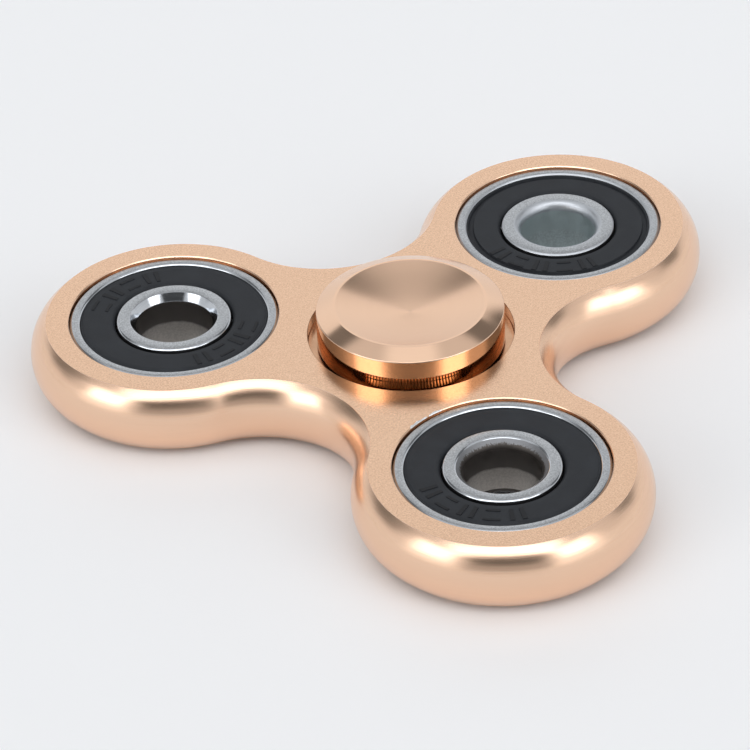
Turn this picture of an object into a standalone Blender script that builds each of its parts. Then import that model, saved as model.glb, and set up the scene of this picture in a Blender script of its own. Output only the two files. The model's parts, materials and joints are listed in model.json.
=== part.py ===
"""Fidget spinner: a three-lobed body that turns on a small ball bearing between two finger caps,
with a larger sealed ball bearing in each lobe.

Metres, +Z up. The origin is the centre of the centre bearing: the spin axis is Z, and the body's
mid-plane is z = 0. Bearing 1 lies on -X, bearing 2 in front of the axis and bearing 3 behind it.
"""

import math

import bmesh
import bpy
from mathutils import Matrix, Vector

MM = 0.001

# Body: three round lobes, joined by tangent hollows, with a rounded edge all round
BODY_THICKNESS = 7.4 * MM
LOBE_DISTANCE = 25.1 * MM           # spin axis to the axis of each lobe bearing
LOBE_RADIUS = 15.2 * MM             # at the mid-plane
HOLLOW_RADIUS = 10.0 * MM           # of the waist between two lobes, at the mid-plane
EDGE_ROUND = 1.87 * MM              # how far the rounded edge bulges past the flat faces
LOBE_ANGLES = (180.0, 300.0, 60.0)
LOBE_STEPS = 16
HOLLOW_STEPS = 8
EDGE_STEPS = 6
BORE_CHAMFER = 0.2 * MM

# Recess round each cap, and the web between the two recesses that holds the centre bearing
RECESS_RADIUS = 10.75 * MM
WEB_THICKNESS = 4.8 * MM

# Finger cap
CAP_RADIUS = 9.75 * MM
UPPER_CAP = {                       # heights above the body's face
    "shoulder": 2.78 * MM, "height": 3.52 * MM, "dish_depth": 1.2 * MM,
}
LOWER_CAP = {                       # a thinner button, which holds the body just clear of a table
    "shoulder": 0.35 * MM, "height": 0.9 * MM, "dish_depth": 0.6 * MM,
}
DISH_RADIUS = 7.75 * MM
CAP_LAND = 0.25 * MM                # flat ring round the dish, which the spinner stands on
CAP_FLOOR_GAP = 0.35 * MM           # cap's underside above the recess floor
SPIGOT_GAP = 0.15 * MM              # half of the gap between the two caps' spigots
SPIGOT_CLEARANCE = 0.05 * MM        # keeps the spigot's sides inside the bore's flats
DISH_STEPS = 5
CAP_SEGMENTS = 40

# Lobe bearing, 8 x 22 x 7 mm, and centre bearing, 6.35 x 12.7 x 4.762 mm
PRESS_GAP = 0.02 * MM               # between pieces that are pressed together
RUNNING_GAP = 0.08 * MM             # between a ball and its tracks
CORNER = 0.1 * MM                   # cut off an inner ring's outer edges
TRACK_MOUTH = 0.72                  # half heights of a track's mouth and floor, per ball radius
TRACK_FLOOR = 0.3
LOBE_BEARING = {
    "bore": 4.0 * MM,
    "outside": 11.0 * MM,
    "half_width": 3.5 * MM,
    "inner_shoulder": 6.0 * MM,
    "outer_shoulder": 9.05 * MM,
    "seal_seat": 9.8 * MM,
    "seal_top": 3.35 * MM,
    "seal_thickness": 0.8 * MM,
    "lip_gap": 0.15 * MM,
    "chamfer": 0.3 * MM,
    "mouth_width": 0.6 * MM,
    "mouth_depth": 0.75 * MM,
    "ball": 1.984 * MM,
    "pitch": 7.5 * MM,
    "balls": 7,
    "cage_wall": 0.6 * MM,
    "segments": 28,
}
CENTRE_BEARING = {
    "bore": 3.175 * MM,
    "outside": 6.35 * MM,
    "half_width": 2.381 * MM,
    "inner_shoulder": 4.1 * MM,
    "outer_shoulder": 5.4 * MM,
    "seal_seat": 5.8 * MM,
    "seal_top": 2.25 * MM,
    "seal_thickness": 0.4 * MM,
    "lip_gap": 0.15 * MM,
    "chamfer": 0.15 * MM,
    "mouth_width": 0.15 * MM,
    "mouth_depth": 0.15 * MM,
    "ball": 0.794 * MM,
    "pitch": 4.7625 * MM,
    "balls": 10,
    "cage_wall": 0.3 * MM,
    "segments": 24,
}


def clear_scene():
    for thing in list(bpy.data.objects):
        bpy.data.objects.remove(thing, do_unlink=True)


def principled(name, colour, roughness, metallic):
    material = bpy.data.materials.new(name)
    material.use_nodes = True
    shader = material.node_tree.nodes["Principled BSDF"]
    shader.inputs["Base Color"].default_value = (*colour, 1.0)
    shader.inputs["Roughness"].default_value = roughness
    shader.inputs["Metallic"].default_value = metallic
    return material


def axis_empty(name, centre, parent=None):
    """An empty on a joint's axis, which carries the pieces that turn about it."""
    empty = bpy.data.objects.new(name, None)
    bpy.context.collection.objects.link(empty)
    empty.location = centre
    empty.parent = parent
    return empty


def mesh_object(name, mesh, material, parent, location=(0.0, 0.0, 0.0)):
    thing = bpy.data.objects.new(name, mesh)
    bpy.context.collection.objects.link(thing)
    if not mesh.materials:
        mesh.materials.append(material)
    thing.parent = parent
    thing.location = location
    return thing


def finish_mesh(name, bm, sharp_angle=30.0):
    bmesh.ops.recalc_face_normals(bm, faces=bm.faces)
    mesh = bpy.data.meshes.new(name)
    bm.to_mesh(mesh)
    bm.free()
    mesh.shade_smooth()
    mesh.set_sharp_from_angle(angle=math.radians(sharp_angle))
    return mesh


def turned_mesh(name, profile, segments):
    """Turn a profile of (radius, z) points about Z. It closes on itself, or on the axis."""
    bm = bmesh.new()
    points = [bm.verts.new((radius, 0.0, z)) for radius, z in profile]
    edges = [bm.edges.new(pair) for pair in zip(points, points[1:])]
    if profile[0][0] > 0.0:
        edges.append(bm.edges.new((points[-1], points[0])))
    bmesh.ops.spin(bm, geom=points + edges, cent=(0.0, 0.0, 0.0), axis=(0.0, 0.0, 1.0),
                   angle=math.tau, steps=segments, use_merge=True)
    bmesh.ops.remove_doubles(bm, verts=bm.verts, dist=0.001 * MM)
    return finish_mesh(name, bm)


def lobe_centre(angle):
    turn = math.radians(angle)
    return Vector((math.cos(turn), math.sin(turn), 0.0)) * LOBE_DISTANCE


def arc(centre, radius, start, end, steps):
    """Points along an arc from one angle to the next, without the last one."""
    for step in range(steps):
        turn = start + (end - start) * step / steps
        yield centre + Vector((math.cos(turn), math.sin(turn), 0.0)) * radius


def body_outline(inset):
    """The body's outline, drawn in by inset. Lobes and hollows stay tangent to each other."""
    reach = LOBE_RADIUS + HOLLOW_RADIUS
    half_step = math.pi / 3.0
    hollow_distance = (LOBE_DISTANCE * math.cos(half_step)
                       + math.sqrt(reach ** 2 - (LOBE_DISTANCE * math.sin(half_step)) ** 2))
    contact = math.asin(hollow_distance * math.sin(half_step) / reach)
    outline = []
    for lobe in sorted(LOBE_ANGLES):
        facing = math.radians(lobe)
        swing = math.pi - contact
        outline += arc(lobe_centre(lobe), LOBE_RADIUS - inset,
                       facing - swing, facing + swing, LOBE_STEPS)
        across = facing + half_step
        hollow = Vector((math.cos(across), math.sin(across), 0.0)) * hollow_distance
        open_half = math.pi - half_step - contact
        outline += arc(hollow, HOLLOW_RADIUS + inset,
                       across + math.pi + open_half, across + math.pi - open_half, HOLLOW_STEPS)
    return outline


def body_mesh():
    """Layers of the outline up the rounded edge, closed by the two flat faces."""
    half = BODY_THICKNESS / 2.0
    edge_radius = (half ** 2 + EDGE_ROUND ** 2) / (2.0 * EDGE_ROUND)
    edge_half_angle = math.asin(half / edge_radius)
    bm = bmesh.new()
    layers = []
    for step in range(EDGE_STEPS + 1):
        turn = edge_half_angle * (2.0 * step / EDGE_STEPS - 1.0)
        inset = edge_radius * (1.0 - math.cos(turn))
        height = Vector((0.0, 0.0, edge_radius * math.sin(turn)))
        layers.append([bm.verts.new(point + height) for point in body_outline(inset)])
    for low, high in zip(layers, layers[1:]):
        for i in range(len(low)):
            j = (i + 1) % len(low)
            bm.faces.new((low[i], low[j], high[j], high[i]))
    bm.faces.new(layers[-1])
    bm.faces.new(reversed(layers[0]))
    return finish_mesh("body", bm, sharp_angle=25.0)


def add_cutter(name, target, profile, segments, location=(0.0, 0.0, 0.0)):
    """A hidden turned tool, and the Boolean that cuts it out of the target."""
    cutter = mesh_object(name, turned_mesh(name, profile, segments), None, None, location)
    cutter.hide_render = True
    cutter.display_type = "WIRE"
    cut = target.modifiers.new(name, "BOOLEAN")
    cut.operation = "DIFFERENCE"
    cut.solver = "EXACT"
    cut.object = cutter


def mirrored_profile(upper):
    """A profile's upper half, read down to the mid-plane, with its mirror image below."""
    return upper + [(radius, -z) for radius, z in reversed(upper)]


def make_body(material, parent):
    body = mesh_object("body", body_mesh(), material, parent)
    half = BODY_THICKNESS / 2.0
    past = half + 1.0 * MM
    bore = LOBE_BEARING["outside"]
    flare = BORE_CHAMFER + 1.0 * MM
    bore_profile = [(0.0, past), (bore + flare, past), (bore, half - BORE_CHAMFER),
                    (bore, BORE_CHAMFER - half), (bore + flare, -past), (0.0, -past)]
    for number, angle in enumerate(LOBE_ANGLES, start=1):
        add_cutter(f"cutter_bore_{number}", body, bore_profile, LOBE_BEARING["segments"],
                   lobe_centre(angle))
    web = WEB_THICKNESS / 2.0
    seat = CENTRE_BEARING["outside"]
    add_cutter("cutter_seat", body, [(0.0, past), (seat, past), (seat, -past), (0.0, -past)],
               CENTRE_BEARING["segments"])
    for name, side in (("cutter_upper_recess", 1.0), ("cutter_lower_recess", -1.0)):
        add_cutter(name, body, [(0.0, side * past), (RECESS_RADIUS, side * past),
                                (RECESS_RADIUS, side * web), (0.0, side * web)], CAP_SEGMENTS)
    return body


def cap_profile(size):
    """From the middle of the dish, over the rim and down to the tip of the spigot."""
    face = BODY_THICKNESS / 2.0
    top = face + size["height"]
    depth = size["dish_depth"]
    sphere = (DISH_RADIUS ** 2 + depth ** 2) / (2.0 * depth)
    half_angle = math.asin(DISH_RADIUS / sphere)
    profile = []
    for step in range(DISH_STEPS + 1):
        turn = half_angle * step / DISH_STEPS
        rise = sphere * (1.0 - math.cos(turn))
        profile.append((sphere * math.sin(turn), top - depth + rise))
    underside = WEB_THICKNESS / 2.0 + CAP_FLOOR_GAP
    boss = CENTRE_BEARING["inner_shoulder"] - CORNER
    spigot = CENTRE_BEARING["bore"] - SPIGOT_CLEARANCE
    seat = CENTRE_BEARING["half_width"] + PRESS_GAP
    profile += [
        (DISH_RADIUS + CAP_LAND, top),
        (CAP_RADIUS, face + size["shoulder"]),
        (CAP_RADIUS, underside),
        (boss, underside),
        (boss, seat),
        (spigot, seat),
        (spigot, SPIGOT_GAP),
        (0.0, SPIGOT_GAP),
    ]
    return profile


def make_caps(material, parent):
    upper_mesh = turned_mesh("upper_cap", cap_profile(UPPER_CAP), CAP_SEGMENTS)
    mesh_object("upper_cap", upper_mesh, material, parent)
    lower_mesh = turned_mesh("lower_cap", cap_profile(LOWER_CAP), CAP_SEGMENTS)
    lower = mesh_object("lower_cap", lower_mesh, material, parent)
    lower.rotation_euler = (math.pi, 0.0, 0.0)


def outer_ring_mesh(size):
    """Outer ring: seal seats at both faces, shoulders, and a track wide enough for the balls."""
    outside = size["outside"] - PRESS_GAP
    track = size["pitch"] + size["ball"] + RUNNING_GAP
    track_mouth = TRACK_MOUTH * size["ball"]
    track_floor = TRACK_FLOOR * size["ball"]
    seat_floor = size["seal_top"] - size["seal_thickness"] - PRESS_GAP
    upper = [
        (size["seal_seat"], size["half_width"]),
        (size["seal_seat"], seat_floor),
        (size["outer_shoulder"], seat_floor),
        (size["outer_shoulder"], track_mouth),
        (track, track_floor),
    ]
    rim = [(outside, size["half_width"] - size["chamfer"]),
           (outside - size["chamfer"], size["half_width"])]
    mirrored_rim = [(radius, -z) for radius, z in reversed(rim)]
    return turned_mesh("outer_ring", mirrored_profile(upper) + mirrored_rim + rim,
                       size["segments"])


def inner_ring_mesh(size):
    """Inner ring: chamfered bore, shoulders, and a track wide enough for the balls."""
    track = size["pitch"] - size["ball"] - RUNNING_GAP
    track_mouth = TRACK_MOUTH * size["ball"]
    track_floor = TRACK_FLOOR * size["ball"]
    upper = [
        (size["bore"], size["half_width"] - size["mouth_depth"]),
        (size["bore"] + size["mouth_width"], size["half_width"]),
        (size["inner_shoulder"] - CORNER, size["half_width"]),
        (size["inner_shoulder"], size["half_width"] - CORNER),
        (size["inner_shoulder"], track_mouth),
        (track, track_floor),
    ]
    return turned_mesh("inner_ring", mirrored_profile(upper), size["segments"])


def seal_mesh(size):
    """A flat ring that sits against the outer ring's seat and clears the inner ring."""
    lip = size["inner_shoulder"] + size["lip_gap"]
    edge = size["seal_seat"] - PRESS_GAP
    top = size["seal_top"]
    low = top - size["seal_thickness"]
    return turned_mesh("seal", [(lip, top), (edge, top), (edge, low), (lip, low)],
                       size["segments"])


def cage_mesh(size):
    """Crown cage: a ring whose upper edge dips into an open pocket under each ball."""
    pocket = size["ball"] + 1.5 * RUNNING_GAP
    base = -(size["seal_top"] - size["seal_thickness"] - RUNNING_GAP)
    crown = 0.5 * size["ball"]
    pocket_half = math.asin(pocket / size["pitch"])
    dips = (-1.0, -0.85, -0.5, 0.0, 0.5, 0.85, 1.0)
    edge = [(-pocket_half, crown)]
    for part in dips:
        depth = pocket * math.sqrt(1.0 - part ** 2)
        edge.append((math.asin(part * pocket / size["pitch"]), -depth))
    edge.append((pocket_half, crown))
    radii = (size["pitch"] - size["cage_wall"], size["pitch"] + size["cage_wall"])
    bm = bmesh.new()
    columns = []
    for ball in range(size["balls"]):
        middle = math.tau * ball / size["balls"]
        for turn, top in edge:
            spoke = Vector((math.cos(middle + turn), math.sin(middle + turn), 0.0))
            corners = [spoke * radii[0] + Vector((0.0, 0.0, base)),
                       spoke * radii[1] + Vector((0.0, 0.0, base)),
                       spoke * radii[1] + Vector((0.0, 0.0, top)),
                       spoke * radii[0] + Vector((0.0, 0.0, top))]
            columns.append([bm.verts.new(corner) for corner in corners])
    for i, here in enumerate(columns):
        there = columns[(i + 1) % len(columns)]
        for low in range(4):
            high = (low + 1) % 4
            bm.faces.new((here[low], here[high], there[high], there[low]))
    bmesh.ops.remove_doubles(bm, verts=bm.verts, dist=0.001 * MM)
    return finish_mesh("cage", bm)


def ball_mesh(radius):
    bm = bmesh.new()
    bmesh.ops.create_icosphere(bm, subdivisions=2, radius=radius)
    return finish_mesh("ball", bm, sharp_angle=80.0)


def make_bearing(prefix, size, centre, rotor, inner_parent, seal_names, materials):
    """One bearing: rings, two seals, cage and balls, each on the axis that it turns about."""
    steel, seal_material, cage_material, ball_material = materials
    mesh_object(f"{prefix}_outer_ring", outer_ring_mesh(size), steel, rotor, centre)
    inner_axis = inner_parent or axis_empty(f"{prefix}_axis", centre, rotor)
    mesh_object(f"{prefix}_inner_ring", inner_ring_mesh(size), steel, inner_axis)
    seal = seal_mesh(size)
    mesh_object(f"{prefix}_{seal_names[0]}", seal, seal_material, rotor, centre)
    lower = mesh_object(f"{prefix}_{seal_names[1]}", seal, seal_material, rotor, centre)
    lower.rotation_euler = (math.pi, 0.0, 0.0)
    cage_axis = axis_empty(f"{prefix}_cage_axis", centre, inner_parent or rotor)
    mesh_object(f"{prefix}_cage", cage_mesh(size), cage_material, cage_axis)
    ball = ball_mesh(size["ball"])
    for number in range(size["balls"]):
        turn = Matrix.Rotation(math.tau * number / size["balls"], 4, "Z")
        place = turn @ Vector((size["pitch"], 0.0, 0.0))
        mesh_object(f"{prefix}_ball_{number + 1}", ball, ball_material, cage_axis, place)


def main():
    clear_scene()
    satin_gold = principled("satin_rose_gold", (0.88, 0.60, 0.43), 0.34, 1.0)
    polished_gold = principled("polished_rose_gold", (0.88, 0.58, 0.41), 0.16, 1.0)
    steel = principled("ground_steel", (0.62, 0.64, 0.66), 0.28, 1.0)
    rubber = principled("black_rubber", (0.03, 0.032, 0.036), 0.7, 0.0)
    shield = principled("shield_steel", (0.55, 0.56, 0.57), 0.35, 1.0)
    nylon = principled("nylon_cage", (0.55, 0.50, 0.40), 0.5, 0.0)
    ball_steel = principled("ball_steel", (0.75, 0.76, 0.78), 0.08, 1.0)

    hub = axis_empty("hub_axis", (0.0, 0.0, 0.0))
    rotor = axis_empty("rotor_axis", (0.0, 0.0, 0.0), hub)
    make_body(satin_gold, rotor)
    make_caps(polished_gold, hub)
    make_bearing("centre", CENTRE_BEARING, (0.0, 0.0, 0.0), rotor, hub,
                 ("upper_shield", "lower_shield"), (steel, shield, nylon, ball_steel))
    for number, angle in enumerate(LOBE_ANGLES, start=1):
        make_bearing(f"bearing_{number}", LOBE_BEARING, lobe_centre(angle), rotor, None,
                     ("upper_seal", "lower_seal"), (steel, rubber, nylon, ball_steel))


main()
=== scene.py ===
import json
import math

import bmesh
import bpy
from mathutils import Matrix, Vector


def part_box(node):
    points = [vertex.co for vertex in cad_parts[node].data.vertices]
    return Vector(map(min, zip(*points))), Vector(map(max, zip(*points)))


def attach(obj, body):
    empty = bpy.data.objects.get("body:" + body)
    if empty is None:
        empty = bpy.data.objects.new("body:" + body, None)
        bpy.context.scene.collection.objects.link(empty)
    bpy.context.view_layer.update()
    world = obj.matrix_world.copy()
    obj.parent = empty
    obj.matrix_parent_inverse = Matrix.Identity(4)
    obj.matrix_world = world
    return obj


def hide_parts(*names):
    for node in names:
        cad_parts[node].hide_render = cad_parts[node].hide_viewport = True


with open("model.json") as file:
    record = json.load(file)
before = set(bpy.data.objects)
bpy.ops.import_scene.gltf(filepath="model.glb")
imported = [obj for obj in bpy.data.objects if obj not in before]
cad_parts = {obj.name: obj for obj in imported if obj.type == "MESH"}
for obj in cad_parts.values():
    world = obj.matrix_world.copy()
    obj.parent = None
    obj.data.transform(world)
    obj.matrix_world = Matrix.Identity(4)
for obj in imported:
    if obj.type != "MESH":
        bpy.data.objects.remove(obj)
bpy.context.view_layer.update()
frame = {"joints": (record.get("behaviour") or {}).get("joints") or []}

MM = 0.001

# ---------------------------------------------------------------- sizes read from the frame

JOINT_PLACE = {joint["name"]: Vector(joint["pos_m"]) for joint in frame["joints"]}
LOBES = {number: JOINT_PLACE[f"bearing_{number}_spin"] for number in (1, 2, 3)}
LOBE_DISTANCE = LOBES[1].length
HALF_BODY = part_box("body")[1].z
LOBE_RADIUS = -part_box("body")[0].x - LOBE_DISTANCE
CAP_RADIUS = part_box("upper_cap")[1].x
CAP_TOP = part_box("upper_cap")[1].z
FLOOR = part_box("lower_cap")[0].z

# ---------------------------------------------------------------- sizes that the CAD solids share

HOLLOW_RADIUS = 10.0 * MM
EDGE_ROUND = 1.87 * MM
BORE_CHAMFER = 0.13 * MM
RECESS_RADIUS = 10.75 * MM
HALF_WEB = 2.4 * MM
UPPER_CAP = {"shoulder": 2.78 * MM, "dish_depth": 1.2 * MM}
LOWER_CAP = {"shoulder": 0.35 * MM, "dish_depth": 0.6 * MM}
DISH_RADIUS = 7.75 * MM
CAP_LAND = 0.25 * MM
CAP_FLOOR_GAP = 0.35 * MM
SPIGOT_GAP = 0.15 * MM
PRESS_GAP = 0.02 * MM

LOBE_BEARING = {
    "bore": 4.0 * MM, "outside": 11.0 * MM, "half_width": 3.5 * MM,
    "inner_shoulder": 6.0 * MM, "outer_shoulder": 9.05 * MM, "seal_seat": 9.8 * MM,
    "seal_top": 3.35 * MM, "seal_thickness": 0.8 * MM, "lip_gap": 0.15 * MM,
    "chamfer": 0.32 * MM, "facet": 0.17 * MM,
    "ball": 1.984 * MM, "pitch": 7.5 * MM, "balls": 7, "groove": 0.06 * MM,
    "cage_wall": 0.6 * MM, "segments": 224,
}
CENTRE_BEARING = {
    "bore": 3.175 * MM, "outside": 6.35 * MM, "half_width": 2.381 * MM,
    "inner_shoulder": 4.1 * MM, "outer_shoulder": 5.4 * MM, "seal_seat": 5.8 * MM,
    "seal_top": 2.25 * MM, "seal_thickness": 0.4 * MM, "lip_gap": 0.15 * MM,
    "chamfer": 0.15 * MM, "facet": 0.05 * MM,
    "ball": 0.794 * MM, "pitch": 4.7625 * MM, "balls": 10, "groove": 0.03 * MM,
    "cage_wall": 0.3 * MM, "segments": 96,
}

# ---------------------------------------------------------------- material nodes


class Nodes:
    """Short calls that add nodes to a tree and link them."""

    def __init__(self, tree):
        self.tree = tree

    def node(self, kind, **settings):
        made = self.tree.nodes.new(kind)
        for name, value in settings.items():
            setattr(made, name, value)
        return made

    def feed(self, socket, source):
        """Link a source into a socket, or set the socket if the source is a number or a vector."""
        if isinstance(source, (int, float, tuple)):
            socket.default_value = source
        else:
            self.tree.links.new(source, socket)

    def math(self, operation, a, b=0.0):
        made = self.node("ShaderNodeMath", operation=operation)
        self.feed(made.inputs[0], a)
        self.feed(made.inputs[1], b)
        return made.outputs[0]

    def dot(self, a, b):
        made = self.node("ShaderNodeVectorMath", operation="DOT_PRODUCT")
        self.feed(made.inputs[0], a)
        self.feed(made.inputs[1], b)
        return made.outputs["Value"]

    def blend(self, factor, one, two):
        made = self.node("ShaderNodeMix", data_type="FLOAT")
        self.feed(made.inputs["Factor"], factor)
        self.feed(made.inputs["A"], one)
        self.feed(made.inputs["B"], two)
        return made.outputs["Result"]

    def ramp(self, value, low, high, start, end, interpolation="LINEAR"):
        made = self.node("ShaderNodeMapRange", interpolation_type=interpolation)
        self.feed(made.inputs["Value"], value)
        made.inputs["From Min"].default_value = low
        made.inputs["From Max"].default_value = high
        made.inputs["To Min"].default_value = start
        made.inputs["To Max"].default_value = end
        return made.outputs["Result"]

    def smooth(self, value, low, high, start, end):
        return self.ramp(value, low, high, start, end, "SMOOTHSTEP")


class Shader(Nodes):
    """A Principled material and short calls for the nodes that feed it."""

    def __init__(self, name, colour, metallic, roughness, **sockets):
        self.material = bpy.data.materials.new(name)
        self.material.use_nodes = True
        super().__init__(self.material.node_tree)
        self.surface = self.tree.nodes["Principled BSDF"]
        self.surface.inputs["Base Color"].default_value = (*colour, 1.0)
        self.surface.inputs["Metallic"].default_value = metallic
        self.surface.inputs["Roughness"].default_value = roughness
        for socket, value in sockets.items():
            self.surface.inputs[socket.replace("_", " ")].default_value = value
        self.height = None

    def place(self):
        return self.node("ShaderNodeTexCoord").outputs["Object"]

    def path(self):
        """Distance along and across an edge, in metres, from the mesh's own map."""
        return self.node("ShaderNodeUVMap", uv_map="path").outputs["UV"]

    def scaled(self, vector, scale):
        made = self.node("ShaderNodeVectorMath", operation="MULTIPLY")
        self.feed(made.inputs[0], vector)
        made.inputs[1].default_value = scale
        return made.outputs[0]

    def radius(self, scale):
        """Distance from the piece's own turning axis, times scale, as a vector along X."""
        flat = self.scaled(self.place(), (scale, scale, 0.0))
        length = self.node("ShaderNodeVectorMath", operation="LENGTH")
        self.feed(length.inputs[0], flat)
        row = self.node("ShaderNodeCombineXYZ")
        self.feed(row.inputs["X"], length.outputs["Value"])
        return row.outputs[0]

    def noise(self, vector, scale, detail=2.0, roughness=0.5):
        made = self.node("ShaderNodeTexNoise")
        self.feed(made.inputs["Vector"], vector)
        made.inputs["Scale"].default_value = scale
        made.inputs["Detail"].default_value = detail
        made.inputs["Roughness"].default_value = roughness
        return made.outputs["Fac"]

    def mixed(self, factor, one, two):
        made = self.node("ShaderNodeMix", data_type="RGBA")
        self.feed(made.inputs["Factor"], factor)
        self.feed(made.inputs["A"], (*one, 1.0) if isinstance(one, tuple) else one)
        self.feed(made.inputs["B"], (*two, 1.0) if isinstance(two, tuple) else two)
        return made.outputs["Result"]

    def colour(self, source):
        self.feed(self.surface.inputs["Base Color"], source)

    def rough(self, value, low, high, start, end):
        self.feed(self.surface.inputs["Roughness"], self.ramp(value, low, high, start, end))

    def bump(self, height, depth):
        """Add a bump whose height is depth metres, on top of any earlier one."""
        made = self.node("ShaderNodeBump")
        self.feed(made.inputs["Height"], height)
        made.inputs["Distance"].default_value = depth
        if self.height is not None:
            self.feed(made.inputs["Normal"], self.height)
        self.height = made.outputs["Normal"]
        self.feed(self.surface.inputs["Normal"], self.height)

    def turned_grain(self, amount):
        """Stretch reflections across the lathe marks that run round the piece's axis."""
        self.surface.inputs["Anisotropic"].default_value = amount
        self.surface.inputs["Anisotropic Rotation"].default_value = 0.25
        tangent = self.node("ShaderNodeTangent", direction_type="RADIAL", axis="Z")
        self.feed(self.surface.inputs["Tangent"], tangent.outputs["Tangent"])


GOLD = (0.885, 0.595, 0.42)
GOLD_PALE = (0.915, 0.64, 0.465)
GOLD_DEEP = (0.85, 0.55, 0.375)
GOLD_SHADE = (0.70, 0.42, 0.26)


def satin_gold():
    """Bead-blasted and anodised: a fine, even grain."""
    s = Shader("satin_rose_gold", GOLD, 1.0, 0.22)
    place = s.place()
    grain = s.noise(place, 6000.0, 3.0, 0.7)
    sparkle = s.noise(place, 9000.0, 2.0, 0.6)
    fleck = s.ramp(grain, 0.36, 0.64, 0.0, 1.0)
    s.colour(s.mixed(fleck, (0.765, 0.49, 0.325), (0.925, 0.63, 0.435)))
    s.rough(sparkle, 0.3, 0.7, 0.19, 0.25)
    s.bump(grain, 0.0025 * MM)
    return s.material


def edge_gold():
    """The rounded edge: smoother, with faint drawn lines that follow it."""
    s = Shader("smooth_rose_gold_edge", GOLD, 1.0, 0.22)
    path = s.path()
    lines = s.noise(s.scaled(path, (60.0, 9000.0, 0.0)), 1.0, 3.0, 0.6)
    broad = s.noise(s.scaled(path, (90.0, 1600.0, 0.0)), 1.0, 2.0, 0.5)
    s.colour(s.mixed(lines, GOLD_DEEP, GOLD_PALE))
    s.rough(broad, 0.3, 0.7, 0.19, 0.26)
    s.bump(lines, 0.0034 * MM)
    s.bump(broad, 0.005 * MM)
    s.bump(s.noise(s.place(), 7000.0), 0.0010 * MM)
    return s.material


def bright_gold():
    """Fresh-cut chamfers and the web's bore: bright, with turning marks."""
    s = Shader("cut_rose_gold", GOLD_PALE, 1.0, 0.14)
    place = s.place()
    marks = s.noise(s.scaled(place, (900.0, 900.0, 14000.0)), 1.0, 2.0)
    s.colour(s.mixed(marks, GOLD_DEEP, GOLD_PALE))
    s.rough(marks, 0.3, 0.7, 0.12, 0.24)
    s.bump(s.noise(place, 5000.0), 0.002 * MM)
    return s.material


def ribbed_gold():
    """The recess wall: left as cut, with fine chatter."""
    s = Shader("ribbed_rose_gold", GOLD_PALE, 1.0, 0.17)
    chatter = s.noise(s.place(), 3000.0, 2.0)
    s.colour(s.mixed(chatter, GOLD, GOLD_PALE))
    s.rough(chatter, 0.3, 0.7, 0.14, 0.2)
    s.bump(chatter, 0.003 * MM)
    return s.material


def painted_shade_gold():
    """Painted shade: a dark colour on the recess's edge and on one flank of each chatter rib."""
    s = Shader("painted_shade_rose_gold", (0.16, 0.10, 0.065), 1.0, 0.35)
    shade_mottle = s.noise(s.place(), 2500.0, 3.0)
    s.colour(s.mixed(shade_mottle, (0.12, 0.075, 0.045), (0.22, 0.14, 0.09)))
    s.rough(shade_mottle, 0.3, 0.7, 0.3, 0.45)
    return s.material


def recess_gold():
    """The recess floor and the bores' walls: turned, and a deeper colour that is painted shade."""
    s = Shader("recess_floor_painted_shade_gold", GOLD_SHADE, 1.0, 0.22)
    rings = s.noise(s.scaled(s.place(), (700.0, 700.0, 9000.0)), 1.0, 3.0)
    s.colour(s.mixed(rings, GOLD_SHADE, (0.60, 0.35, 0.21)))
    s.rough(rings, 0.3, 0.7, 0.18, 0.28)
    s.bump(rings, 0.002 * MM)
    return s.material


def bare_aluminium():
    """Metal that shows where the anodising is chipped."""
    s = Shader("bare_aluminium", (0.91, 0.92, 0.92), 1.0, 0.35)
    grain = s.noise(s.place(), 6000.0, 2.0)
    s.colour(s.mixed(grain, (0.85, 0.86, 0.87), (0.93, 0.93, 0.93)))
    s.rough(grain, 0.3, 0.7, 0.3, 0.45)
    s.bump(grain, 0.01 * MM)
    return s.material


def turned_gold(name, roughness, anisotropy, mark_depth):
    """The cap's turned faces: fine rings round the axis that stretch reflections across them."""
    s = Shader(name, GOLD, 1.0, roughness)
    rings = s.noise(s.radius(9000.0), 1.0, 4.0, 0.7)
    broad = s.noise(s.radius(1300.0), 1.0, 2.0, 0.5)
    grain = s.noise(s.place(), 8000.0, 2.0)
    s.colour(s.mixed(rings, GOLD_DEEP, GOLD_PALE))
    s.rough(broad, 0.3, 0.7, roughness * 0.95, roughness * 1.05)
    s.bump(rings, mark_depth)
    s.bump(grain, mark_depth)
    s.turned_grain(anisotropy)
    return s.material


def polished_gold():
    """The cap's side: polished, with faint level lines, and browner towards its foot, which is
    painted shade from the recess.
    """
    s = Shader("polished_rose_gold", GOLD, 1.0, 0.07)
    place = s.place()
    lines = s.noise(s.scaled(place, (300.0, 300.0, 12000.0)), 1.0, 3.0)
    haze = s.noise(place, 900.0, 3.0)
    height = s.dot(place, (0.0, 0.0, 1.0))
    # Painted shade: below these heights the side turns browner, where it stands in the recess.
    shaded_below, lighter_above = 2.9 * MM, 4.2 * MM
    lighter_tone = s.mixed(lines, (0.88, 0.555, 0.345), (0.92, 0.60, 0.385))
    toward_lighter = s.smooth(height, shaded_below, lighter_above, 0.0, 1.0)
    s.colour(s.mixed(toward_lighter, (0.54, 0.35, 0.205), lighter_tone))
    s.rough(haze, 0.3, 0.7, 0.05, 0.11)
    s.bump(lines, 0.0008 * MM)
    return s.material


STEEL = (0.62, 0.645, 0.675)
STEEL_DARK = (0.48, 0.50, 0.53)


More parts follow.
